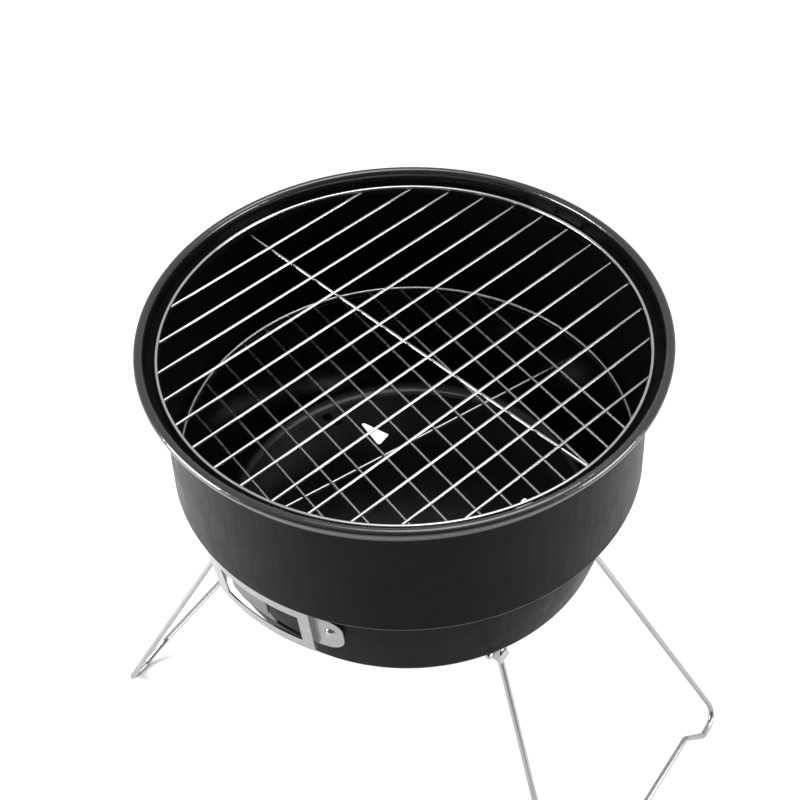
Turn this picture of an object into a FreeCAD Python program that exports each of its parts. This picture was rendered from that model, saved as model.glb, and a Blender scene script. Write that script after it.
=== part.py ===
import FreeCAD, Part
import math
import os

import Sketcher
from FreeCAD import Placement, Rotation, Vector

# Portable tabletop charcoal grill. Millimetres, +Z up. The origin is on the ground under the centre of
# the bowl, X runs from one leg frame to the other, and Y runs along the leg pivots.

DIMENSIONS = {
    # bowl sheet metal
    "sheet_gauge": 0.8,
    "rim_radius": 150.6,
    "rim_height": 362.5,
    "bead_radius": 2.7,
    "ledge_drop": 8.55,
    "drum_top_radius": 138.5,
    "drum_foot_radius": 140.0,
    "seam_height": 272.4,
    "pan_lip_radius": 138.5,
    "pan_floor_height": 202.4,
    "pan_flat_radius": 109.4,
    "pan_corner_radius": 10.75,
    "pan_taper": 14.0,
    # air holes in the floor of the pan
    "air_hole_tip_across": 78.0,
    "air_hole_root_across": 52.0,
    "air_hole_far": 52.7,
    "air_hole_near": 40.5,
    # air inlet, its housing and its damper
    "vent_azimuth": -95.35,
    "inlet_offset": -1.5,
    "inlet_width": 24.0,
    "inlet_bottom": 221.5,
    "inlet_top": 228.5,
    "strap_radius": 139.2,
    "strap_taper": 7.0,
    "joggle_depth": 3.95,
    "vent_plate": 1.0,
    "vent_bottom": 232.5,
    "vent_top": 272.1,
    "vent_half_angle": 15.8,
    "joggle_angle": 0.45,
    "slot_offset": 1.05,
    "slot_half_angle": 11.95,
    "slot_bottom": 240.5,
    "slot_top": 264.3,
    "ear_half_angle": 24.5,
    "ear_reach": 7.6,
    "ear_bottom": 236.0,
    "ear_top": 264.0,
    "ear_corner": 10.0,
    "vent_rivet_angle": 20.1,
    "vent_rivet_height": 252.2,
    "damper_gauge": 0.8,
    "damper_gap": 0.4,
    "damper_fold": 252.5,
    "damper_fold_depth": 3.0,
    "damper_bottom": 238.0,
    "damper_top": 268.0,
    "damper_width": 12.0,
    "damper_offset": -1.85,
    "damper_lip": 0.3,
    # cooking grate and charcoal grate
    "grate_ring_wire": 2.2,
    "grate_bar_wire": 1.8,
    "weld_depth": 0.05,
    "cross_wire_setback": 2.6,
    "cooking_ring_radius": 138.8,
    "cooking_ring_height": 357.1,
    "cooking_bar_pitch": 19.49,
    "cooking_grate_turn": 77.73,
    "cooking_bar_shift": -0.29,
    "cooking_cross_shift": 0.84,
    "charcoal_ring_radius": 135.25,
    "charcoal_ring_height": 277.15,
    "charcoal_bar_pitch": 18.47,
    "charcoal_grate_turn": -21.55,
    "charcoal_bar_shift": -0.72,
    "charcoal_cross_shift": 2.2,
    # leg frames and their brackets
    "leg_wire": 4.0,
    "pivot_across": 94.6,
    "pivot_height": 195.4,
    "leg_splay": 25.4,
    "leg_drop": 193.4,
    "leg_top_half_width": 49.9,
    "leg_foot_half_width": 104.5,
    "leg_tip_half_width": 61.0,
    "leg_tip_bend": 4.0,
    "foot_bend": 10.5,
    "foot_half_length": 83.0,
    "crossbar_half_width": 65.5,
    "crossbar_rise": 15.0,
    "kink_bend": 6.0,
    "bracket_gauge": 1.2,
    "bracket_ear_inner": 55.0,
    "bracket_flange_inner": 38.0,
    "bracket_inboard": 11.5,
    "bracket_ear_inboard": 7.0,
    "bracket_ear_lower": 5.5,
    "stop_near": 4.5,
    "stop_far": 9.0,
    "stop_gap": 0.3,
    "stop_inner": 47.0,
    "pin_clearance": 0.05,
    "leg_rivet_inboard": 6.5,
    "leg_rivet_outboard": 1.5,
    "leg_rivet_row": 43.5,
    # rivets
    "rivet_ease": 0.05,
    "vent_hole_radius": 2.15,
    "shank_radius": 1.6,
    "hole_radius": 1.65,
    "head_radius": 3.3,
    "head_height": 1.8,
    "tail_radius": 2.6,
    "tail_height": 1.2,
}

BAR_COUNT = 13
PARTS_FOLDER = "parts"

doc = FreeCAD.newDocument("tabletop_grill")
dims = doc.addObject("Spreadsheet::Sheet", "Dims")
for row, (alias, value) in enumerate(DIMENSIONS.items(), start=1):
    dims.set(f"A{row}", alias)
    dims.set(f"B{row}", str(value))
    dims.setAlias(f"B{row}", alias)
doc.recompute()

sub_parts = []


def sheet_words(expression):
    """Writes Dims. before each alias of an expression."""
    words = []
    word = ""
    for letter in expression + " ":
        if letter.isalnum() or letter == "_" or (letter == "." and word.replace(".", "").isdigit()):
            word += letter
            continue
        words.append(f"Dims.{word}" if word in DIMENSIONS else word)
        words.append(letter)
        word = ""
    return "".join(words).strip()


def value_of(expression):
    return float(dims.evalExpression(sheet_words(expression)))


def keep(item, name):
    """Names a finished sub-part and puts it on the list to export."""
    item.Label = name
    sub_parts.append(item)
    return item


def new_body(name):
    body = doc.addObject("PartDesign::Body", name + "_body")
    return keep(body, name)


def fix_point(sketch, tag, edge, end, across, up):
    """Ties one point of a sketch to two expressions."""
    for kind, axis, expression in (("DistanceX", "across", across), ("DistanceY", "up", up)):
        number = sketch.addConstraint(
            Sketcher.Constraint(kind, -1, 1, edge, end, value_of(expression))
        )
        name = f"{axis}_{tag}"
        sketch.renameConstraint(number, name)
        sketch.setExpression(f"Constraints.{name}", sheet_words(expression))


def place_sketch(body, name, role, turn):
    """Makes a sketch on an origin plane of the body, turned about Z by an expression in degrees."""
    sketch = body.newObject("Sketcher::SketchObject", name)
    plane = [f for f in body.Origin.OriginFeatures if f.Role == role][0]
    sketch.AttachmentSupport = (plane, "")
    sketch.MapMode = "FlatFace"
    if turn is not None:
        sketch.AttachmentOffset = Placement(Vector(), Rotation(Vector(0, 1, 0), value_of(turn)))
        sketch.setExpression("AttachmentOffset.Rotation.Angle", sheet_words(turn))
    return sketch


def outline(body, name, role, corners, turn=None):
    """Closed outline. A corner is (across, up), or (across, up, radius, centre across, centre up,
    turning) where an arc leads to the next corner."""
    sketch = place_sketch(body, name, role, turn)
    points = [Vector(value_of(c[0]), value_of(c[1]), 0) for c in corners]
    for number, corner in enumerate(corners):
        start = points[number]
        end = points[(number + 1) % len(points)]
        if len(corner) == 2:
            sketch.addGeometry(Part.LineSegment(start, end))
            fix_point(sketch, number, number, 1, corner[0], corner[1])
            continue
        centre = Vector(value_of(corner[3]), value_of(corner[4]), 0)
        angles = [math.atan2(p.y - centre.y, p.x - centre.x) for p in (start, end)]
        circle = Part.Circle(centre, Vector(0, 0, 1), value_of(corner[2]))
        if corner[5] == "clockwise":
            angles.reverse()
        sketch.addGeometry(Part.ArcOfCircle(circle, angles[0], angles[1]))
        start_end = 2 if corner[5] == "clockwise" else 1
        fix_point(sketch, number, number, start_end, corner[0], corner[1])
        radius = sketch.addConstraint(Sketcher.Constraint("Radius", number, value_of(corner[2])))
        sketch.renameConstraint(radius, f"radius_{number}")
        sketch.setExpression(f"Constraints.radius_{number}", sheet_words(corner[2]))
    for number, corner in enumerate(corners):
        following = (number + 1) % len(corners)
        leaves = 1 if len(corner) > 2 and corner[5] == "clockwise" else 2
        nxt = corners[following]
        enters = 2 if len(nxt) > 2 and nxt[5] == "clockwise" else 1
        sketch.addConstraint(Sketcher.Constraint("Coincident", number, leaves, following, enters))
    return sketch


def round_hole(body, name, role, across, up, radius, turn=None):
    sketch = place_sketch(body, name, role, turn)
    centre = Vector(value_of(across), value_of(up), 0)
    sketch.addGeometry(Part.Circle(centre, Vector(0, 0, 1), value_of(radius)))
    fix_point(sketch, 0, 0, 3, across, up)
    number = sketch.addConstraint(Sketcher.Constraint("Radius", 0, value_of(radius)))
    sketch.renameConstraint(number, "radius")
    sketch.setExpression("Constraints.radius", sheet_words(radius))
    return sketch


def turned(body, kind, name, sketch, angle=None):
    """Revolution or Groove about Z, symmetric about its sketch, over an expression in degrees."""
    feature = body.newObject("PartDesign::" + kind, name)
    feature.Profile = (sketch, [""])
    feature.ReferenceAxis = (sketch, ["V_Axis"])
    if angle is None:
        feature.Angle = 360
    else:
        feature.Midplane = True
        feature.setExpression("Angle", sheet_words(angle))
    sketch.Visibility = False
    doc.recompute()
    return feature


def padded(body, name, sketch, length, reverse=False):
    feature = body.newObject("PartDesign::Pad", name)
    feature.Profile = (sketch, [""])
    feature.setExpression("Length", sheet_words(length))
    feature.Reversed = reverse
    doc.recompute()
    return feature


def pocketed(body, name, sketch, length, reverse=False):
    """Cuts a pocket and makes sure that it has removed something."""
    before = body.Shape.Volume
    feature = body.newObject("PartDesign::Pocket", name)
    feature.Profile = (sketch, [""])
    feature.setExpression("Length", sheet_words(length))
    feature.Reversed = reverse
    doc.recompute()
    if body.Shape.Volume > before - 0.01:
        raise SystemExit(f"{name} cuts nothing")
    return feature


# The outside radius of the pan's tapered wall at a height.
def pan_wall(height, offset="0"):
    return (
        f"pan_flat_radius + pan_corner_radius / cos(pan_taper) + ({offset}) / cos(pan_taper)"
        f" + ({height} - pan_floor_height - pan_corner_radius) * tan(pan_taper)"
    )


# ---- drum: the upper bowl shell, from the rolled rim to the turned-in foot ----
def make_drum():
    body = new_body("drum")
    neck_inner = "rim_radius - 2 * bead_radius"
    neck_outer = "rim_radius - 2 * bead_radius + sheet_gauge"
    centre = ("rim_radius - bead_radius", "rim_height")
    curl_end = "250"
    ledge = "rim_height - ledge_drop"
    flange_inner = pan_wall("seam_height + sheet_gauge", "0.3")
    inner_curl = "(bead_radius - sheet_gauge)"
    corners = [
        (neck_inner, "rim_height", "bead_radius", *centre, "clockwise"),
        (
            f"rim_radius - bead_radius + bead_radius * cos({curl_end})",
            f"rim_height + bead_radius * sin({curl_end})",
        ),
        (
            f"rim_radius - bead_radius + {inner_curl} * cos({curl_end})",
            f"rim_height + {inner_curl} * sin({curl_end})",
            "bead_radius - sheet_gauge",
            *centre,
            "anticlockwise",
        ),
        (neck_outer, "rim_height"),
        (neck_outer, f"{ledge} - sheet_gauge"),
        ("drum_top_radius", f"{ledge} - sheet_gauge"),
        ("drum_foot_radius", "seam_height"),
        (flange_inner, "seam_height"),
        (flange_inner, "seam_height + sheet_gauge"),
        ("drum_foot_radius - sheet_gauge", "seam_height + sheet_gauge"),
        ("drum_top_radius - sheet_gauge", ledge),
        (neck_inner, ledge),
    ]
    profile = outline(body, "drum_profile", "XZ_Plane", corners)
    turned(body, "Revolution", "drum_shell", profile)


# ---- base pan: the lower bowl, hung by its lip on the foot of the drum ----
def make_base_pan():
    body = new_body("base_pan")
    lip_bottom = "seam_height + sheet_gauge"
    lip_top = "seam_height + 2 * sheet_gauge"
    floor_top = "pan_floor_height + sheet_gauge"
    bend = ("pan_flat_radius", "pan_floor_height + pan_corner_radius")
    inner_bend = "pan_corner_radius - sheet_gauge"
    profile = outline(
        body,
        "pan_profile",
        "XZ_Plane",
        [
            ("0", "pan_floor_height"),
            ("pan_flat_radius", "pan_floor_height", "pan_corner_radius", *bend, "anticlockwise"),
            (
                "pan_flat_radius + pan_corner_radius * cos(pan_taper)",
                "pan_floor_height + pan_corner_radius * (1 - sin(pan_taper))",
            ),
            (pan_wall(lip_bottom), lip_bottom),
            ("pan_lip_radius", lip_bottom),
            ("pan_lip_radius", lip_top),
            (pan_wall(lip_top, "-sheet_gauge"), lip_top),
            (
                f"pan_flat_radius + ({inner_bend}) * cos(pan_taper)",
                f"pan_floor_height + pan_corner_radius - ({inner_bend}) * sin(pan_taper)",
                inner_bend,
                *bend,
                "clockwise",
            ),
            ("pan_flat_radius", floor_top),
            ("0", floor_top),
        ],
    )
    turned(body, "Revolution", "pan_shell", profile)
    cut_air_holes(body)
    cut_inlet(body)
    reach = "pan_lip_radius"
    for side, sign in (("left", "-"), ("right", "+")):
        turn = f"vent_azimuth {sign} vent_rivet_angle + 90"
        name = f"pan_rivet_hole_{side}"
        spot = ("0", "vent_rivet_height + 0.5", "vent_hole_radius")
        hole = round_hole(body, name, "XZ_Plane", *spot, turn)
        pocketed(body, f"pan_rivet_cut_{side}", hole, reach, reverse=True)
    for side, sign in (("right", "1"), ("left", "-1")):
        for end, way in (("front", "-1"), ("rear", "1")):
            for spot, shift in (("inboard", "-leg_rivet_inboard"), ("outboard", "leg_rivet_outboard")):
                across = f"{sign} * (pivot_across + ({shift}))"
                up = f"{way} * leg_rivet_row"
                tag = f"{side}_{end}_{spot}"
                hole = round_hole(body, f"floor_hole_{tag}", "XY_Plane", across, up, "hole_radius")
                pocketed(body, f"floor_cut_{tag}", hole, "rim_height", reverse=True)


def cut_air_holes(body):
    """Four three-cornered air holes whose tips point at the leg brackets."""
    for side, sign in (("right", "1"), ("left", "-1")):
        for end, way in (("front", "-1"), ("rear", "1")):
            tag = f"{side}_{end}"
            sketch = outline(
                body,
                f"air_hole_{tag}",
                "XY_Plane",
                [
                    (f"{sign} * air_hole_tip_across", f"{way} * air_hole_far"),
                    (f"{sign} * air_hole_root_across", f"{way} * air_hole_far"),
                    (f"{sign} * air_hole_root_across", f"{way} * air_hole_near"),
                ],
            )
            pocketed(body, f"air_cut_{tag}", sketch, "rim_height", reverse=True)


def cut_inlet(body):
    """The air inlet in the wall, behind the open end of the housing's slot."""
    left = "inlet_offset - 2"
    right = "inlet_offset - 2 + inlet_width"
    sketch = outline(
        body,
        "inlet_outline",
        "XZ_Plane",
        [(left, "inlet_bottom"), (right, "inlet_bottom"), (right, "inlet_top"), (left, "inlet_top")],
        "vent_azimuth + 90",
    )
    pocketed(body, "inlet_cut", sketch, "pan_lip_radius", reverse=True)


# ---- vent housing: a strap that stands off the pan, with a long slot and two riveted ears ----
def strap_face(height, offset="0"):
    """Radius of the strap's outer face at a height, plus a distance from it."""
    return f"strap_radius + ({offset}) - (vent_top - ({height})) * tan(strap_taper)"


def band_outline(body, name, low, high, inner, outer, turn):
    """A strip parallel to the strap, between two heights and two distances from its outer face."""
    return outline(
        body,
        name,
        "XZ_Plane",
        [
            (strap_face(low, inner), low),
            (strap_face(low, outer), low),
            (strap_face(high, outer), high),
            (strap_face(high, inner), high),
        ],
        turn,
    )


def round_ear(body, side, sign):
    """Cuts away what lies beyond the rounded end of an ear."""
    way = f"{sign}1"
    shoulder = f"{way} * (ear_reach - ear_corner)"
    end = f"{way} * ear_reach"
    beyond = f"{way} * (ear_reach + 8)"
    high = "ear_top - ear_corner"
    low = "ear_bottom + ear_corner"
    turning = "anticlockwise" if sign == "-" else "clockwise"
    sketch = outline(
        body,
        f"ear_end_{side}",
        "XZ_Plane",
        [
            (shoulder, "ear_top + 2"),
            (shoulder, "ear_top", "ear_corner", shoulder, high, turning),
            (end, high),
            (end, low, "ear_corner", shoulder, low, turning),
            (shoulder, "ear_bottom"),
            (shoulder, "ear_bottom - 2"),
            (beyond, "ear_bottom - 2"),
            (beyond, "ear_top + 2"),
        ],
        f"vent_azimuth {sign} vent_rivet_angle + 90",
    )
    pocketed(body, f"ear_end_cut_{side}", sketch, "rim_radius", reverse=True)


def make_vent_housing():
    body = new_body("vent_housing")
    band = band_outline(body, "band", "vent_bottom", "vent_top", "-vent_plate", "0", "vent_azimuth")
    turned(body, "Revolution", "band_plate", band, "2 * vent_half_angle")
    ear_inner = "-vent_plate - joggle_depth"
    for side, sign in (("left", "-"), ("right", "+")):
        joggle = outline(
            body,
            f"joggle_{side}",
            "XZ_Plane",
            [
                (strap_face("ear_bottom", ear_inner), "ear_bottom"),
                (strap_face("vent_bottom"), "vent_bottom"),
                (strap_face("vent_top"), "vent_top"),
                (strap_face("ear_top", ear_inner), "ear_top"),
            ],
            f"vent_azimuth {sign} vent_half_angle",
        )
        turned(body, "Revolution", f"joggle_plate_{side}", joggle, "joggle_angle")
        ear = band_outline(
            body,
            f"ear_{side}",
            "ear_bottom",
            "ear_top",
            ear_inner,
            "-joggle_depth",
            f"vent_azimuth {sign} (ear_half_angle + vent_half_angle) / 2",
        )
        turned(body, "Revolution", f"ear_plate_{side}", ear, "ear_half_angle - vent_half_angle")
    middle = "vent_azimuth + slot_offset"
    slot = band_outline(body, "slot", "slot_bottom", "slot_top", "-3", "3", middle)
    turned(body, "Groove", "slot_cut", slot, "2 * slot_half_angle")
    for side, sign in (("left", "-"), ("right", "+")):
        round_ear(body, side, sign)
    for side, sign in (("left", "-"), ("right", "+")):
        turn = f"vent_azimuth {sign} vent_rivet_angle + 90"
        spot = ("0", "vent_rivet_height", "vent_hole_radius")
        hole = round_hole(body, f"ear_hole_{side}", "XZ_Plane", *spot, turn)
        pocketed(body, f"ear_cut_{side}", hole, "rim_radius", reverse=True)


# ---- vent damper: a curved plate that slides round the pan inside the housing ----
def make_vent_damper():
    body = new_body("vent_damper")
    outer = "-vent_plate - damper_gap"
    inner = f"{outer} - damper_gauge"
    plate = outline(
        body,
        "damper",
        "XZ_Plane",
        [
            (strap_face("damper_bottom", f"{inner} - damper_fold_depth"), "damper_bottom"),
            (strap_face("damper_bottom", f"{outer} - damper_fold_depth"), "damper_bottom"),
            (strap_face("damper_fold", outer), "damper_fold"),
            (strap_face("damper_top", outer), "damper_top"),
            (strap_face("damper_top", inner), "damper_top"),
            (strap_face("damper_fold", inner), "damper_fold"),
        ],
        "vent_azimuth + damper_offset",
    )
    turned(body, "Revolution", "damper_plate", plate, "damper_width")
    lip = band_outline(
        body,
        "damper_lip",
        "damper_fold",
        "slot_top - 2",
        inner,
        "-damper_lip",
        "vent_azimuth + damper_offset + (damper_width - joggle_angle) / 2",
    )
    turned(body, "Revolution", "damper_lip_plate", lip, "joggle_angle")


# ---- rivets ----
def rivet_shape(name, grip):
    """A domed rivet: its head rests on z = 0, and its tail closes under the grip."""
    dome_radius = "(head_radius ^ 2 + head_height ^ 2) / (2 * head_height)"
    dome = doc.addObject("Part::Sphere", name + "_dome")
    dome.setExpression("Radius", sheet_words(dome_radius))
    dome.setExpression("Angle1", sheet_words(f"asin(1 - head_height / ({dome_radius}))"))
    dome.setExpression("Placement.Base.z", sheet_words(f"head_height - ({dome_radius})"))
    shank = doc.addObject("Part::Cylinder", name + "_shank")
    shank.setExpression("Radius", "Dims.shank_radius")
    shank.setExpression("Height", sheet_words(f"{grip} + tail_height"))
    shank.setExpression("Placement.Base.z", sheet_words(f"-({grip}) - tail_height"))
    tail = doc.addObject("Part::Cylinder", name + "_tail")
    tail.setExpression("Radius", "Dims.tail_radius")
    tail.setExpression("Height", "Dims.tail_height")
    tail.setExpression("Placement.Base.z", sheet_words(f"-({grip}) - tail_height"))
    fused = doc.addObject("Part::MultiFuse", name)
    fused.Shapes = [dome, shank, tail]
    return fused


def make_vent_rivets():
    """One rivet through each ear, square to the ear, that closes on the inside of the pan."""
    pan_inner = pan_wall("vent_rivet_height", "-sheet_gauge")
    ear_outer = strap_face("vent_rivet_height", "-joggle_depth")
    grip = f"{ear_outer} - ({pan_inner}) + tail_radius * tan(pan_taper - strap_taper)"
    for side, sign in (("left", -1), ("right", 1)):
        rivet = keep(rivet_shape(f"vent_rivet_{side}_fuse", grip), f"vent_rivet_{side}")
        azimuth = value_of("vent_azimuth") + sign * value_of("vent_rivet_angle")
        radius = value_of(ear_outer) + value_of("rivet_ease")
        way = Vector(math.cos(math.radians(azimuth)), math.sin(math.radians(azimuth)), 0)
        lean = math.radians(value_of("strap_taper"))
        normal = way * math.cos(lean) + Vector(0, 0, -math.sin(lean))
        place = way * radius + Vector(0, 0, value_of("vent_rivet_height"))
        rivet.Placement = Placement(place, Rotation(Vector(0, 0, 1), normal))


def make_leg_rivets():
    """Two rivets hold each leg bracket under the floor; their domes are inside the pan."""
    grip = "sheet_gauge + bracket_gauge"
    for side, sign in (("right", 1), ("left", -1)):
        for end, way in (("front", -1), ("rear", 1)):
            pair = []
            for spot, shift in (("inboard", "-leg_rivet_inboard"), ("outboard", "leg_rivet_outboard")):
                rivet = rivet_shape(f"leg_rivet_{side}_{end}_{spot}", grip)
                across = f"{sign} * (pivot_across + ({shift}))"
                rivet.setExpression("Placement.Base.x", sheet_words(across))
                rivet.setExpression("Placement.Base.y", sheet_words(f"{way} * leg_rivet_row"))
                rivet.setExpression("Placement.Base.z", sheet_words("pan_floor_height + sheet_gauge"))
                pair.append(rivet)
            group = doc.addObject("Part::Compound", f"leg_rivets_{side}_{end}_group")
            group.Links = pair
            keep(group, f"leg_rivets_{side}_{end}")


# ---- grates: a ring, thirteen bars welded under it, and one wire across under the bars ----
def make_grate(kind):
    """Bars under a ring, shifted a little off its centre, and one cross wire under the bars."""
    name = f"{kind}_grate"
    ring_radius = f"{kind}_ring_radius"
    ring_height = f"{kind}_ring_height"
    turn = f"{kind}_grate_turn"
    bar_height = f"{ring_height} - (grate_ring_wire + grate_bar_wire) / 2 + weld_depth"
    cross_height = f"{bar_height} - grate_bar_wire + weld_depth"
    ring = doc.addObject("Part::Torus", f"{name}_ring_torus")
    ring.setExpression("Radius1", sheet_words(ring_radius))
    ring.setExpression("Radius2", sheet_words("grate_ring_wire / 2"))
    ring.setExpression("Placement.Base.z", sheet_words(ring_height))
    keep(ring, f"{name}_ring")

    bars = []
    reach = f"({ring_radius} + grate_ring_wire / 4)"
    for number in range(BAR_COUNT):
        across = f"({number - BAR_COUNT // 2} * {kind}_bar_pitch + {kind}_bar_shift)"
        half = f"sqrt({reach} ^ 2 - {across} ^ 2)"
        bar = doc.addObject("Part::Cylinder", f"{name}_bar_{number + 1}")
        bar.setExpression("Radius", sheet_words("grate_bar_wire / 2"))
        bar.setExpression("Height", sheet_words(f"2 * {half}"))
        bar.Placement = Placement(Vector(), Rotation(Vector(0, 1, 0), 90))
        bar.setExpression("Placement.Base.x", sheet_words(f"-({half})"))
        bar.setExpression("Placement.Base.y", sheet_words(across))
        bars.append(bar)
    group = doc.addObject("Part::Compound", f"{name}_bars_group")
    group.Links = bars
    group.Placement = Placement(Vector(), Rotation(Vector(0, 0, 1), value_of(turn)))
    group.setExpression("Placement.Base.z", sheet_words(bar_height))
    keep(group, f"{name}_bars")

    cross = doc.addObject("Part::Cylinder", f"{name}_cross_cylinder")
    cross.setExpression("Radius", sheet_words("grate_bar_wire / 2"))
    half_cross = f"sqrt(({ring_radius} - cross_wire_setback) ^ 2 - {kind}_cross_shift ^ 2)"
    cross.setExpression("Height", sheet_words(f"2 * {half_cross}"))
    about_z = Rotation(Vector(0, 0, 1), value_of(turn))
    start = Vector(value_of(f"{kind}_cross_shift"), -value_of(half_cross), value_of(cross_height))
    along = about_z.multVec(Vector(0, 1, 0))
    cross.Placement = Placement(about_z.multVec(start), Rotation(Vector(0, 0, 1), along))
    keep(cross, f"{name}_cross_wire")


# ---- leg frames: one bent wire each, with tips that turn in the brackets ----
def bent_wire(points, bends, radius):
    """Sweeps a round wire along straight runs joined by tangent arcs."""
    edges = []
    start = points[0]
    for number in range(1, len(points) - 1):
        corner = points[number]
        back = (points[number - 1] - corner).normalize()
        ahead = (points[number + 1] - corner).normalize()
        half = back.getAngle(ahead) / 2
        reach = bends[number - 1] / math.tan(half)
        middle = (back + ahead).normalize()
        apex = corner + middle * (bends[number - 1] / math.sin(half) - bends[number - 1])
        edges.append(Part.LineSegment(start, corner + back * reach).toShape())
        arc = Part.Arc(corner + back * reach, apex, corner + ahead * reach)
        edges.append(arc.toShape())
        start = corner + ahead * reach
    edges.append(Part.LineSegment(start, points[-1]).toShape())
    path = Part.Wire(edges)
    ring = Part.Circle(points[0], points[1] - points[0], radius).toShape()
    return path.makePipeShell([Part.Wire([ring])], True, True)


def leg_frame_points():
    """The right frame's corners from its rear tip to its front tip, in its own frame: Y is along the
    pivot and -Z runs down the slope of the frame."""
    slope = value_of("leg_drop") / math.cos(math.radians(value_of("leg_splay")))
    rise = value_of("crossbar_rise")
    half = [
        (value_of("leg_tip_half_width"), 0.0),
        (value_of("leg_top_half_width"), 0.0),
        (value_of("leg_foot_half_width"), -slope),
        (value_of("foot_half_length"), -slope),
        (value_of("crossbar_half_width"), rise - slope),
    ]
    points = [Vector(0, along, down) for along, down in half]
    return points + [Vector(0, -p.y, p.z) for p in reversed(points)]


def make_leg_frame(name, sign):
    bends = [value_of(b) for b in ("leg_tip_bend", "foot_bend", "kink_bend", "kink_bend")]
    shape = bent_wire(leg_frame_points(), bends + bends[::-1], value_of("leg_wire") / 2)
    frame = doc.addObject("Part::Feature", f"{name}_wire")
    frame.Shape = shape
    pivot = Vector(sign * value_of("pivot_across"), 0, value_of("pivot_height"))
    frame.Placement = Placement(pivot, Rotation(Vector(0, 1, 0), -sign * value_of("leg_splay")))
    return keep(frame, name)


# ---- leg brackets: a riveted flange, an ear that holds the wire's tip, and a stop for the wire ----
def stop_point(distance, offset):
    """A point beside the open leg, in the XZ plane about the pivot."""
    return (
        f"{distance} * sin(leg_splay) + ({offset}) * cos(leg_splay)",
        f"({offset}) * sin(leg_splay) - {distance} * cos(leg_splay)",
    )


def mirrored(corners, sign):
    return [(f"{sign} * ({across})", up) for across, up in corners]


def bracket_plate(body, name, corners, start, length, way):
    """Pads an outline of the XZ plane along Y, from a distance out to the same side."""
    sketch = outline(body, f"{name}_outline", "XZ_Plane", corners)
    sketch.setExpression("AttachmentOffset.Base.z", sheet_words(f"{-way} * ({start})"))
    return padded(body, name, sketch, length, reverse=way > 0)


def make_leg_bracket(name, sign, way):
    """sign is the side of the grill along X and way is the side along Y."""
    body = new_body(name)
    top = "pan_floor_height - pivot_height"
    under = f"{top} - bracket_gauge"
    inner = "leg_wire / 2 + stop_gap"
    outer = f"{inner} + bracket_gauge"
    near = stop_point("stop_near", outer)
    far = stop_point("stop_far", outer)
    ear = mirrored(
        [
            ("-bracket_ear_inboard", top),
            ("-bracket_ear_inboard", "-bracket_ear_lower / 3"),
            (stop_point("stop_far", "-leg_wire")[0], "-bracket_ear_lower"),
            far,
            near,
            (near[0], top),
        ],
        sign,
    )
    flange = mirrored(
        [("-bracket_inboard", under), (near[0], under), (near[0], top), ("-bracket_inboard", top)],
        sign,
    )
    stop = mirrored([stop_point("stop_near", inner), near, far, stop_point("stop_far", inner)], sign)
    ear_outer = "bracket_ear_inner + bracket_gauge"
    width = f"{ear_outer} - bracket_flange_inner"
    bracket_plate(body, "ear", ear, "bracket_ear_inner", "bracket_gauge", way)
    bracket_plate(body, "flange", flange, "bracket_flange_inner", width, way)
    bracket_plate(body, "stop", stop, "stop_inner", f"{ear_outer} - stop_inner", way)
    pin = round_hole(body, "pin_hole", "XZ_Plane", "0", "0", "leg_wire / 2 + pin_clearance")
    pocketed(body, "pin_cut", pin, "rim_radius", reverse=way < 0)
    for spot, shift in (("inboard", "-leg_rivet_inboard"), ("outboard", "leg_rivet_outboard")):
        across = f"{sign} * ({shift})"
        row = f"{way} * leg_rivet_row"
        hole = round_hole(body, f"rivet_hole_{spot}", "XY_Plane", across, row, "hole_radius")
        pocketed(body, f"rivet_cut_{spot}", hole, "rim_radius", reverse=True)
    body.setExpression("Placement.Base.x", sheet_words(f"{sign} * pivot_across"))
    body.setExpression("Placement.Base.z", "Dims.pivot_height")


def check_and_export():
    doc.recompute()
    for item in doc.Objects:
        if "Invalid" in item.State or "Error" in item.State:
            raise SystemExit(f"{item.Label} failed: {item.State}")
    os.makedirs(PARTS_FOLDER, exist_ok=True)
    for item in sub_parts:
        if item.Shape.isNull() or not item.Shape.isValid():
            raise SystemExit(f"{item.Label} has no valid shape")
    for item in sub_parts:
        item.Shape.exportStep(os.path.join(PARTS_FOLDER, item.Label + ".step"))
        print(f"{item.Label}: {len(item.Shape.Solids)} solids, {item.Shape.Volume:.0f} mm3")


make_drum()
make_base_pan()
make_vent_housing()
make_vent_damper()
make_vent_rivets()
make_grate("cooking")
make_grate("charcoal")
for side, sign in (("right", 1), ("left", -1)):
    make_leg_frame(f"leg_frame_{side}", sign)
    for end, way in (("front", -1), ("rear", 1)):
        make_leg_bracket(f"leg_bracket_{side}_{end}", sign, way)
make_leg_rivets()
check_and_export()
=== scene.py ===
import math

import bmesh
import bpy
from mathutils import Matrix, Vector


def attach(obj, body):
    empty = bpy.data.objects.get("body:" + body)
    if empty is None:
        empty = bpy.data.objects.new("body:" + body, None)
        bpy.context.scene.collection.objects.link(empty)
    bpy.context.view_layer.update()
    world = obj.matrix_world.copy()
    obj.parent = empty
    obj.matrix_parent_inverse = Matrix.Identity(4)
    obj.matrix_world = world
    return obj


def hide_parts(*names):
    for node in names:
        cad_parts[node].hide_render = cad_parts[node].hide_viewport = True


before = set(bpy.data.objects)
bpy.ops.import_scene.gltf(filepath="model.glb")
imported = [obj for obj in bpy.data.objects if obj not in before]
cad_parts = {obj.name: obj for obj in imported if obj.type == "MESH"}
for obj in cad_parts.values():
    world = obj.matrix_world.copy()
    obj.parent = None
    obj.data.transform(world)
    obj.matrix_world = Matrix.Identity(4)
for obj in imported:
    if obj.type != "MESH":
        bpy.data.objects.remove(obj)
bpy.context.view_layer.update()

MM = 0.001
TURN = 2 * math.pi

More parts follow.
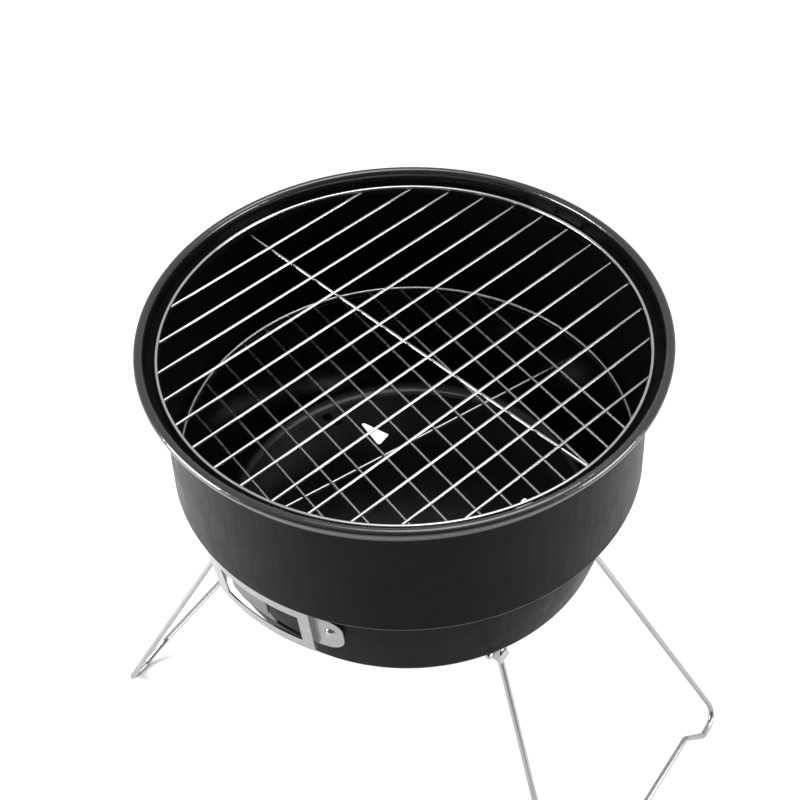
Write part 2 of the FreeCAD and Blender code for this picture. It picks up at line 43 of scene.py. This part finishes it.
# ---- sizes, in millimetres: the same as the CAD part's ----
SHEET = 0.8
RIM_RADIUS = 150.6
RIM_HEIGHT = 362.5
BEAD = 2.7
LEDGE = 353.95
DRUM_TOP = 138.5
DRUM_FOOT = 140.0
SEAM = 272.4
PAN_LIP = 138.5
PAN_FLOOR = 202.4
PAN_FLAT = 109.4
PAN_CORNER = 10.75
PAN_TAPER = math.radians(14.0)
VENT_AZIMUTH = -95.35
PIVOT_X = 94.6
PIVOT_Z = 195.4
LEG_SPLAY = math.radians(25.4)
LEG_DROP = 193.4
LEG_TOP_HALF = 49.9
LEG_TIP_HALF = 61.0
LEG_FOOT_HALF = 104.5
FOOT_HALF = 83.0
CROSSBAR_HALF = 65.5
CROSSBAR_RISE = 15.0
LEG_WIRE = 2.0
TIP_BEND = 4.0
FOOT_BEND = 10.5
KINK_BEND = 6.0
AIR_HOLE_TIP = 78.0
AIR_HOLE_ROOT = 52.0
AIR_HOLE_FAR = 52.7
AIR_HOLE_NEAR = 40.5
INLET_START = -3.5
INLET_END = 20.5
INLET_BOTTOM = 221.5
INLET_TOP = 228.5
RING_WIRE = 1.1
BAR_WIRE = 0.9
WELD = 0.05
BARS_EACH_SIDE = 6
BAR_REACH = 0.55
CROSS_SETBACK = 2.6

collection = bpy.context.scene.collection


# ---- mesh helpers ----
def new_object(name, vertices, faces, sharp=None):
    """A smooth mesh object from points in millimetres. Edges over the sharp angle stay crisp."""
    mesh = bpy.data.meshes.new(name)
    mesh.from_pydata([[c * MM for c in v] for v in vertices], [], faces)
    work = bmesh.new()
    work.from_mesh(mesh)
    bmesh.ops.recalc_face_normals(work, faces=work.faces)
    work.to_mesh(mesh)
    work.free()
    mesh.shade_smooth()
    if sharp is not None:
        mesh.set_sharp_from_angle(angle=math.radians(sharp))
    item = bpy.data.objects.new(name, mesh)
    collection.objects.link(item)
    return item


def arc(across, up, radius, start, end, steps):
    """Points of an arc in a profile, with its angles in degrees."""
    points = []
    for i in range(steps + 1):
        angle = math.radians(start + (end - start) * i / steps)
        points.append((across + radius * math.cos(angle), up + radius * math.sin(angle)))
    return points


def lathe(name, profile, segments=288, closed=True, sharp=40):
    """Turns a profile of (radius, height) about Z. A point on the axis becomes one vertex."""
    vertices = []
    rings = []
    for radius, height in profile:
        if radius < 1e-6:
            rings.append([len(vertices)] * segments)
            vertices.append((0, 0, height))
            continue
        rings.append(list(range(len(vertices), len(vertices) + segments)))
        for s in range(segments):
            a = TURN * s / segments
            vertices.append((radius * math.cos(a), radius * math.sin(a), height))
    faces = []
    pairs = list(zip(rings, rings[1:]))
    if closed:
        pairs.append((rings[-1], rings[0]))
    for low, high in pairs:
        for s in range(segments):
            t = (s + 1) % segments
            face = list(dict.fromkeys([low[s], low[t], high[t], high[s]]))
            if len(face) > 2:
                faces.append(face)
    return new_object(name, vertices, faces, sharp)


def rounded_path(points, bends, steps=10):
    """The line of a wire: straight runs joined by tangent arcs of the given radii."""
    path = [points[0]]
    for number in range(1, len(points) - 1):
        corner = points[number]
        back = (points[number - 1] - corner).normalized()
        ahead = (points[number + 1] - corner).normalized()
        half = back.angle(ahead) / 2
        radius = bends[number - 1]
        middle = (back + ahead).normalized()
        centre = corner + middle * (radius / math.sin(half))
        first = corner + back * (radius / math.tan(half)) - centre
        last = corner + ahead * (radius / math.tan(half)) - centre
        for i in range(steps + 1):
            path.append(centre + first.normalized().slerp(last.normalized(), i / steps) * radius)
    path.append(points[-1])
    return path


def tube(name, path, radius, sides=16, closed=False, round_ends=0.0):
    """A round wire along a path. Its ends are rounded by the given length."""
    count = len(path)
    vertices = []
    faces = []
    normal = None
    rows = []
    for i, point in enumerate(path):
        before = path[(i - 1) % count] if closed or i > 0 else path[0]
        after = path[(i + 1) % count] if closed or i < count - 1 else path[-1]
        way = (after - before).normalized()
        if normal is None:
            normal = way.orthogonal().normalized()
        normal = (normal - way * normal.dot(way)).normalized()
        rows.append((point, way, normal.copy(), radius))
    if round_ends and not closed:
        rows = end_cap(rows[0], -round_ends)[::-1] + rows[1:-1] + end_cap(rows[-1], round_ends)
    for point, way, side, size in rows:
        other = way.cross(side)
        for s in range(sides):
            a = TURN * s / sides
            vertices.append(point + side * (size * math.cos(a)) + other * (size * math.sin(a)))
    spans = len(rows) if closed else len(rows) - 1
    for i in range(spans):
        here = i * sides
        there = ((i + 1) % len(rows)) * sides
        for s in range(sides):
            t = (s + 1) % sides
            faces.append((here + s, here + t, there + t, there + s))
    if not closed:
        faces.append(tuple(range(sides)))
        faces.append(tuple(range(len(vertices) - sides, len(vertices))))
    return new_object(name, vertices, faces, 45)


def end_cap(row, reach):
    """Rows that shrink towards the end of a wire, kept inside its length."""
    point, way, side, size = row
    start = point - way * reach
    rows = []
    for share in (0.0, 0.4, 0.7, 0.9, 1.0):
        shrunk = size * math.sqrt(max(0.0, 1 - share * share * 0.72))
        rows.append((start + way * (reach * share), way, side, shrunk))
    return rows


def joined(name, items):
    """Joins several mesh objects into one."""
    work = bmesh.new()
    for item in items:
        work.from_mesh(item.data)
    mesh = bpy.data.meshes.new(name)
    work.to_mesh(mesh)
    work.free()
    for item in items:
        bpy.data.objects.remove(item)
    result = bpy.data.objects.new(name, mesh)
    collection.objects.link(result)
    return result


def cut(item, cutters):
    """Cuts the cutters out of the item and throws them away."""
    for cutter in cutters:
        modifier = item.modifiers.new("cut", "BOOLEAN")
        modifier.operation = "DIFFERENCE"
        modifier.solver = "EXACT"
        modifier.object = cutter
    apply_modifiers(item)
    for cutter in cutters:
        bpy.data.objects.remove(cutter)
    item.data.set_sharp_from_angle(angle=math.radians(40))


def apply_modifiers(item):
    bpy.context.view_layer.update()
    graph = bpy.context.evaluated_depsgraph_get()
    mesh = bpy.data.meshes.new_from_object(item.evaluated_get(graph))
    item.modifiers.clear()
    item.data = mesh


def soften(item, width, segments=2, angle=35):
    """Rounds an object's edges by a width in millimetres."""
    modifier = item.modifiers.new("soften", "BEVEL")
    modifier.width = width * MM
    modifier.segments = segments
    modifier.limit_method = "ANGLE"
    modifier.angle_limit = math.radians(angle)
    modifier.harden_normals = False


def prism(name, outline, low, high):
    """An upright prism from (x, y) points in millimetres."""
    count = len(outline)
    vertices = [(x, y, low) for x, y in outline] + [(x, y, high) for x, y in outline]
    faces = [tuple(range(count)), tuple(range(count, 2 * count))]
    for i in range(count):
        j = (i + 1) % count
        faces.append((i, j, count + j, count + i))
    return new_object(name, vertices, faces)


def finish_piece(item, body, material, nodes=()):
    """Gives a piece its finish and the body it rides on, and hides the CAD nodes it stands for."""
    item.data.materials.clear()
    item.data.materials.append(material)
    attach(item, body)
    if nodes:
        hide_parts(*nodes)
    return item


# ---- materials ----
def start_material(name):
    material = bpy.data.materials.new(name)
    material.use_nodes = True
    tree = material.node_tree
    shader = tree.nodes["Principled BSDF"]
    place = tree.nodes.new("ShaderNodeTexCoord")
    return material, tree, shader, place.outputs["Object"]


def stretched(tree, vector, scale):
    mapping = tree.nodes.new("ShaderNodeMapping")
    mapping.inputs["Scale"].default_value = scale
    tree.links.new(vector, mapping.inputs["Vector"])
    return mapping.outputs["Vector"]


def noise(tree, vector, scale, detail=3.0, roughness=0.5):
    node = tree.nodes.new("ShaderNodeTexNoise")
    node.inputs["Scale"].default_value = scale
    node.inputs["Detail"].default_value = detail
    node.inputs["Roughness"].default_value = roughness
    tree.links.new(vector, node.inputs["Vector"])
    return node.outputs["Fac"]


def spread(tree, value, low, high, start=0.3, end=0.7):
    """Maps a 0 to 1 texture onto a range of values."""
    node = tree.nodes.new("ShaderNodeMapRange")
    node.inputs["From Min"].default_value = start
    node.inputs["From Max"].default_value = end
    node.inputs["To Min"].default_value = low
    node.inputs["To Max"].default_value = high
    tree.links.new(value, node.inputs["Value"])
    return node.outputs["Result"]


def colours(tree, value, low, high, start=0.3, end=0.7):
    node = tree.nodes.new("ShaderNodeValToRGB")
    node.color_ramp.elements[0].position = start
    node.color_ramp.elements[0].color = (*low, 1)
    node.color_ramp.elements[1].position = end
    node.color_ramp.elements[1].color = (*high, 1)
    tree.links.new(value, node.inputs["Fac"])
    return node.outputs["Color"]


def bump(tree, shader, height, depth, strength=1.0, before=None):
    node = tree.nodes.new("ShaderNodeBump")
    node.inputs["Distance"].default_value = depth
    node.inputs["Strength"].default_value = strength
    tree.links.new(height, node.inputs["Height"])
    if before is not None:
        tree.links.new(before, node.inputs["Normal"])
    tree.links.new(node.outputs["Normal"], shader.inputs["Normal"])
    return node.outputs["Normal"]


def round_the_axis(tree, vector, around, up):
    """Coordinates that run round the Z axis, so that a texture follows the sheet's rolling marks."""
    parts = tree.nodes.new("ShaderNodeSeparateXYZ")
    tree.links.new(vector, parts.inputs["Vector"])
    angle = tree.nodes.new("ShaderNodeMath")
    angle.operation = "ARCTAN2"
    tree.links.new(parts.outputs["Y"], angle.inputs[0])
    tree.links.new(parts.outputs["X"], angle.inputs[1])
    wide = tree.nodes.new("ShaderNodeMath")
    wide.operation = "MULTIPLY"
    wide.inputs[1].default_value = around
    tree.links.new(angle.outputs["Value"], wide.inputs[0])
    tall = tree.nodes.new("ShaderNodeMath")
    tall.operation = "MULTIPLY"
    tall.inputs[1].default_value = up
    tree.links.new(parts.outputs["Z"], tall.inputs[0])
    joined_up = tree.nodes.new("ShaderNodeCombineXYZ")
    tree.links.new(wide.outputs["Value"], joined_up.inputs["X"])
    tree.links.new(tall.outputs["Value"], joined_up.inputs["Y"])
    return joined_up.outputs["Vector"]


def enamel(name, roughness, gloss, streaks=True):
    """Satin black enamel: faint orange peel and, on walls, faint streaks where it ran down."""
    material, tree, shader, place = start_material(name)
    shader.inputs["Specular IOR Level"].default_value = gloss
    cloud = noise(tree, place, 14, 4)
    dark = colours(tree, cloud, (0.0022, 0.0022, 0.0026), (0.0040, 0.0040, 0.0046))
    tree.links.new(dark, shader.inputs["Base Color"])
    rub = noise(tree, place, 55, 5, 0.6)
    tree.links.new(spread(tree, rub, roughness - 0.035, roughness + 0.045), shader.inputs["Roughness"])
    peel = noise(tree, place, 900, 2)
    first = bump(tree, shader, peel, 0.00002, 0.35)
    if streaks:
        runs = noise(tree, round_the_axis(tree, place, 9.0, 14.0), 2.2, 4)
        bump(tree, shader, runs, 0.0006, 0.5, first)
    return material


def plated_wire(name, tint, roughness):
    """Bright plated wire with fine drawing marks and slightly dull patches."""
    material, tree, shader, place = start_material(name)
    shader.inputs["Metallic"].default_value = 1.0
    cloud = noise(tree, place, 60, 4)
    dull = tuple(0.86 * c for c in tint)
    tree.links.new(colours(tree, cloud, dull, tint), shader.inputs["Base Color"])
    rub = noise(tree, place, 240, 4, 0.6)
    tree.links.new(spread(tree, rub, roughness - 0.05, roughness + 0.08), shader.inputs["Roughness"])
    grain = noise(tree, place, 1400, 2)
    bump(tree, shader, grain, 0.00002, 0.4)
    return material


def galvanised(name, tint, roughness):
    """Zinc-plated sheet: soft spangle, rolling marks along the strap and light scuffs."""
    material, tree, shader, place = start_material(name)
    shader.inputs["Metallic"].default_value = 1.0
    spangle = tree.nodes.new("ShaderNodeTexVoronoi")
    spangle.inputs["Scale"].default_value = 260
    tree.links.new(place, spangle.inputs["Vector"])
    dull = tuple(0.9 * c for c in tint)
    tone = colours(tree, spangle.outputs["Distance"], dull, tint, 0.1, 0.9)
    tree.links.new(tone, shader.inputs["Base Color"])
    marks = noise(tree, round_the_axis(tree, place, 1.5, 900.0), 3.0, 5, 0.65)
    tree.links.new(spread(tree, marks, roughness - 0.07, roughness + 0.1), shader.inputs["Roughness"])
    bump(tree, shader, marks, 0.00003, 0.5)
    return material


drum_enamel = enamel("drum_enamel", 0.36, 0.03)
edge_enamel = enamel("edge_enamel", 0.18, 0.9)
pan_enamel = enamel("pan_enamel", 0.3, 0.01)
inside_enamel = enamel("inside_enamel", 0.2, 0.3, streaks=False)
cooking_chrome = plated_wire("cooking_grate_chrome", (0.50, 0.50, 0.50), 0.16)
charcoal_chrome = plated_wire("charcoal_grate_chrome", (0.50, 0.50, 0.51), 0.28)
leg_steel = plated_wire("leg_wire_steel", (0.36, 0.36, 0.37), 0.2)
housing_zinc = galvanised("housing_sheet", (0.27, 0.275, 0.28), 0.28)
damper_zinc = galvanised("damper_sheet", (0.12, 0.12, 0.125), 0.38)
bracket_zinc = galvanised("bracket_steel", (0.34, 0.34, 0.35), 0.36)
rivet_steel = plated_wire("vent_rivet_steel", (0.36, 0.36, 0.36), 0.18)


# ---- drum ----
def make_glossy(shell, material, chosen):
    """Gives a glossier enamel to the faces for which chosen(face) is true."""
    shell.data.materials.append(material)
    for face in shell.data.polygons:
        if chosen(face):
            face.material_index = 1


def make_drum():
    """Rolled rim bead, neck, ledge, a wall slightly wider at its foot, and the turned-in foot."""
    neck = RIM_RADIUS - 2 * BEAD
    bead = (RIM_RADIUS - BEAD, RIM_HEIGHT)
    foot_round = 0.7
    neck_round = 1.4
    under_round = 0.6
    inner_round = 0.5
    flange_inner = pan_wall(SEAM + SHEET, 0.3)
    profile = arc(*bead, BEAD, 180, -110, 48)
    profile += arc(*bead, BEAD - SHEET, -110, 180, 36)
    under = LEDGE - SHEET
    profile += [(neck + SHEET, under + neck_round)]
    profile += arc(neck + SHEET - neck_round, under + neck_round, neck_round, 0, -90, 6)
    profile += arc(DRUM_TOP + under_round, under - under_round, under_round, 90, 180, 4)
    profile += arc(DRUM_FOOT - foot_round, SEAM + foot_round, foot_round, 0, -90, 6)
    profile += [(flange_inner, SEAM), (flange_inner, SEAM + SHEET)]
    profile += [(DRUM_FOOT - SHEET, SEAM + SHEET)]
    wall = DRUM_TOP - SHEET
    profile += [(wall, LEDGE - inner_round)]
    profile += arc(wall + inner_round, LEDGE - inner_round, inner_round, 180, 90, 4)
    profile += arc(neck - inner_round, LEDGE + inner_round, inner_round, -90, 0, 4)
    shell = lathe("drum_shell", profile, 360)
    finish_piece(shell, "bowl", drum_enamel, ["drum"])
    low = (SEAM + foot_round) * MM
    high = (LEDGE + 1) * MM
    make_glossy(shell, edge_enamel, lambda face: not low < face.center.z < high)


# ---- base pan ----
def pan_wall(height, offset=0.0):
    """Outside radius of the pan's tapered wall at a height, plus a distance from the wall."""
    foot = PAN_FLAT + (PAN_CORNER + offset) / math.cos(PAN_TAPER)
    return foot + (height - PAN_FLOOR - PAN_CORNER) * math.tan(PAN_TAPER)


def make_pan():
    """Lip, tapered wall and flat floor, with the air holes and the inlet cut out."""
    taper = math.degrees(PAN_TAPER)
    bend = (PAN_FLAT, PAN_FLOOR + PAN_CORNER)
    low = SEAM + SHEET
    high = SEAM + 2 * SHEET
    profile = [(0, PAN_FLOOR)]
    profile += arc(*bend, PAN_CORNER, -90, -taper, 16)
    profile += [(pan_wall(low), low), (PAN_LIP, low), (PAN_LIP, high)]
    profile += [(pan_wall(high, -SHEET) + 0.5, high), (pan_wall(high - 0.5, -SHEET), high - 0.5)]
    profile += arc(*bend, PAN_CORNER - SHEET, -taper, -90, 16)
    profile += [(0, PAN_FLOOR + SHEET)]
    shell = lathe("pan_shell", profile, 360, closed=False)
    cutters = []
    for side in (1, -1):
        for way in (1, -1):
            tip = (AIR_HOLE_TIP * side, AIR_HOLE_FAR * way)
            far = (AIR_HOLE_ROOT * side, AIR_HOLE_FAR * way)
            near = (AIR_HOLE_ROOT * side, AIR_HOLE_NEAR * way)
            hole = rounded_corners([tip, far, near], 1.4)
            cutters.append(prism("air_hole", hole, PAN_FLOOR - 5, PAN_FLOOR + 5))
    cutters.append(inlet_cutter())
    cut(shell, cutters)
    even = shell.modifiers.new("even shading", "WEIGHTED_NORMAL")
    even.keep_sharp = True
    finish_piece(shell, "bowl", pan_enamel, ["base_pan"])
    make_glossy(shell, inside_enamel, lambda face: face.normal.z > 0.1)


def rounded_corners(corners, radius, steps=5):
    """A flat outline whose corners are rounded by a radius."""
    points = []
    count = len(corners)
    for i in range(count):
        corner = Vector((*corners[i], 0))
        back = (Vector((*corners[i - 1], 0)) - corner).normalized()
        ahead = (Vector((*corners[(i + 1) % count], 0)) - corner).normalized()
        half = back.angle(ahead) / 2
        centre = corner + (back + ahead).normalized() * (radius / math.sin(half))
        first = corner + back * (radius / math.tan(half)) - centre
        last = corner + ahead * (radius / math.tan(half)) - centre
        for s in range(steps + 1):
            point = centre + first.normalized().slerp(last.normalized(), s / steps) * radius
            points.append((point.x, point.y))
    return points


def inlet_cutter():
    """The box that cuts the air inlet through the pan's wall, just below the vent housing."""
    low = [(INLET_START, INLET_BOTTOM), (INLET_END, INLET_BOTTOM)]
    high = [(INLET_END, INLET_TOP), (INLET_START, INLET_TOP)]
    outline = rounded_corners(low + high, 1.5)
    way = math.radians(VENT_AZIMUTH)
    out = Vector((math.cos(way), math.sin(way), 0))
    along = Vector((-math.sin(way), math.cos(way), 0))
    points = []
    for reach in (110.0, 135.0):
        points += [out * reach + along * a + Vector((0, 0, z)) for a, z in outline]
    count = len(outline)
    faces = [tuple(range(count)), tuple(range(count, 2 * count))]
    for i in range(count):
        j = (i + 1) % count
        faces.append((i, j, count + j, count + i))
    return new_object("inlet_cutter", points, faces)


make_drum()
make_pan()

# ---- grates ----
GRATES = {
    "cooking": {
        "ring": 138.8,
        "height": 357.1,
        "pitch": 19.49,
        "turn": 77.73,
        "bar_shift": -0.29,
        "cross_shift": 0.84,
        "material": cooking_chrome,
    },
    "charcoal": {
        "ring": 135.25,
        "height": 277.15,
        "pitch": 18.47,
        "turn": -21.55,
        "bar_shift": -0.72,
        "cross_shift": 2.2,
        "material": charcoal_chrome,
    },
}


def make_grate(name, facts):
    """A ring, parallel bars under it and one cross wire under the bars."""
    turn = Matrix.Rotation(math.radians(facts["turn"]), 3, "Z")
    ring = facts["ring"]
    bar_z = facts["height"] - RING_WIRE - BAR_WIRE + WELD
    circle = []
    for s in range(240):
        a = TURN * s / 240
        circle.append(Vector((ring * math.cos(a), ring * math.sin(a), facts["height"])))
    hoop = tube(f"{name}_ring_wire", circle, RING_WIRE, 16, closed=True)
    body = f"{name}_grate"
    finish_piece(hoop, body, facts["material"], [f"{name}_grate_ring"])
    bars = []
    for number in range(-BARS_EACH_SIDE, BARS_EACH_SIDE + 1):
        across = number * facts["pitch"] + facts["bar_shift"]
        half = math.sqrt((ring + BAR_REACH) ** 2 - across**2)
        ends = [turn @ Vector((sign * half, across, bar_z)) for sign in (-1, 1)]
        line = [ends[0].lerp(ends[1], i / 8) for i in range(9)]
        bars.append(tube("bar", line, BAR_WIRE, 14, round_ends=0.35))
    group = joined(f"{name}_bar_wires", bars)
    group.data.set_sharp_from_angle(angle=math.radians(45))
    finish_piece(group, body, facts["material"], [f"{name}_grate_bars"])
    shift = facts["cross_shift"]
    reach = math.sqrt((ring - CROSS_SETBACK) ** 2 - shift**2)
    low = bar_z - 2 * BAR_WIRE + WELD
    ends = [turn @ Vector((shift, sign * reach, low)) for sign in (-1, 1)]
    line = [ends[0].lerp(ends[1], i / 8) for i in range(9)]
    cross = tube(f"{name}_cross_bar", line, BAR_WIRE, 14, round_ends=0.35)
    finish_piece(cross, body, facts["material"], [f"{name}_grate_cross_wire"])


for grate_name, grate_facts in GRATES.items():
    make_grate(grate_name, grate_facts)


# ---- legs ----
def make_leg(name, sign):
    """One bent wire: tips in the brackets, two splayed legs, feet and a raised crossbar."""
    slope = LEG_DROP / math.cos(LEG_SPLAY)
    top = [(LEG_TIP_HALF, 0), (LEG_TOP_HALF, 0)]
    foot = [(LEG_FOOT_HALF, -slope), (FOOT_HALF, -slope)]
    half = top + foot + [(CROSSBAR_HALF, CROSSBAR_RISE - slope)]
    local = [Vector((0, y, z)) for y, z in half] + [Vector((0, -y, z)) for y, z in reversed(half)]
    lean = Matrix.Rotation(-sign * LEG_SPLAY, 3, "Y")
    pivot = Vector((sign * PIVOT_X, 0, PIVOT_Z))
    points = [pivot + lean @ p for p in local]
    bends = [TIP_BEND, FOOT_BEND, KINK_BEND, KINK_BEND]
    path = rounded_path(points, bends + bends[::-1], 12)
    wire = tube(f"{name}_bent_wire", path, LEG_WIRE, 24, round_ends=0.8)
    finish_piece(wire, name, leg_steel, [name])


for leg_name, leg_sign in (("leg_frame_right", 1), ("leg_frame_left", -1)):
    make_leg(leg_name, leg_sign)

# ---- CAD nodes that stay ----
KEPT = {
    "leg_bracket": bracket_zinc,
    "leg_rivets": pan_enamel,
    "vent_rivet": rivet_steel,
    "vent_housing": housing_zinc,
    "vent_damper": damper_zinc,
}
for node_name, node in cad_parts.items():
    for start, material in KEPT.items():
        if node_name.startswith(start):
            node.data.materials.clear()
            node.data.materials.append(material)
            soften(node, 0.22, 3)

# ---- floor, light and camera ----
floor_mesh = bpy.data.meshes.new("floor")
FLOOR_HALF = 4
floor_corners = [(x * FLOOR_HALF, y * FLOOR_HALF, 0) for x, y in ((-1, -1), (1, -1), (1, 1), (-1, 1))]
floor_mesh.from_pydata(floor_corners, [], [(0, 1, 2, 3)])
floor = bpy.data.objects.new("floor", floor_mesh)
collection.objects.link(floor)
floor_paint = bpy.data.materials.new("floor_paint")
floor_paint.use_nodes = True
floor_shader = floor_paint.node_tree.nodes["Principled BSDF"]
floor_shader.inputs["Base Color"].default_value = (0.9, 0.9, 0.9, 1)
floor_shader.inputs["Roughness"].default_value = 0.9
floor_shader.inputs["Specular IOR Level"].default_value = 0.0
floor_mesh.materials.append(floor_paint)

# The room is darker on the camera's side, so that the front of the bowl stays dark.
FRONT = (0.58, -0.81, 0.0)
world = bpy.data.worlds.new("studio")
bpy.context.scene.world = world
world.use_nodes = True
sky = world.node_tree
sky.nodes["Background"].inputs["Color"].default_value = (1, 1, 1, 1)
aim = sky.nodes.new("ShaderNodeTexCoord")
toward_front = sky.nodes.new("ShaderNodeVectorMath")
toward_front.operation = "DOT_PRODUCT"
toward_front.inputs[1].default_value = FRONT
sky.links.new(aim.outputs["Generated"], toward_front.inputs[0])
fade = sky.nodes.new("ShaderNodeMapRange")
fade.interpolation_type = "SMOOTHSTEP"
fade.inputs["From Min"].default_value = 0.1
fade.inputs["From Max"].default_value = 0.9
fade.inputs["To Min"].default_value = 0.85
fade.inputs["To Max"].default_value = 0.2
sky.links.new(toward_front.outputs["Value"], fade.inputs["Value"])
sky.links.new(fade.outputs["Result"], sky.nodes["Background"].inputs["Strength"])


def softbox(name, place, target, size, power):
    light = bpy.data.lights.new(name, "AREA")
    light.shape = "RECTANGLE"
    light.size, light.size_y = size
    light.energy = power
    item = bpy.data.objects.new(name, light)
    item.location = place
    item.rotation_mode = "QUATERNION"
    item.rotation_quaternion = (Vector(target) - Vector(place)).to_track_quat("-Z", "Y")
    collection.objects.link(item)


softbox("overhead", (0.1, 0.3, 1.9), (0, 0, 0.3), (1.0, 1.0), 14)
softbox("left", (-0.80, -0.80, 0.5), (-0.3, -0.35, 0), (0.5, 0.5), 20)
softbox("right", (1.05, 0.35, 0.5), (0.4, 0.1, 0), (0.5, 0.5), 8)

VIEW_AZIMUTH = math.radians(35.65)
VIEW_ELEVATION = math.radians(44.9)
VIEW_ROLL = 0.0423
VIEW_LENS = 69.18
VIEW_PLACE = (0.3679, -0.51885, 0.9415)
camera_data = bpy.data.cameras.new("camera")
camera = bpy.data.objects.new("camera", camera_data)
collection.objects.link(camera)
camera_data.lens = VIEW_LENS
camera_data.sensor_width = 36.0
spin = Matrix.Rotation(VIEW_AZIMUTH, 3, "Z")
level = spin @ Vector((1, 0, 0))
forward = spin @ Vector((0, math.cos(VIEW_ELEVATION), -math.sin(VIEW_ELEVATION)))
down = spin @ Vector((0, -math.sin(VIEW_ELEVATION), -math.cos(VIEW_ELEVATION)))
image_right = level + down * VIEW_ROLL
image_down = down - level * VIEW_ROLL
columns = Matrix((image_right.normalized(), -image_down.normalized(), -forward)).transposed()
camera.rotation_mode = "QUATERNION"
camera.rotation_quaternion = columns.to_quaternion()
camera.location = VIEW_PLACE
bpy.context.scene.camera = camera
bpy.context.scene.view_settings.view_transform = "Standard"
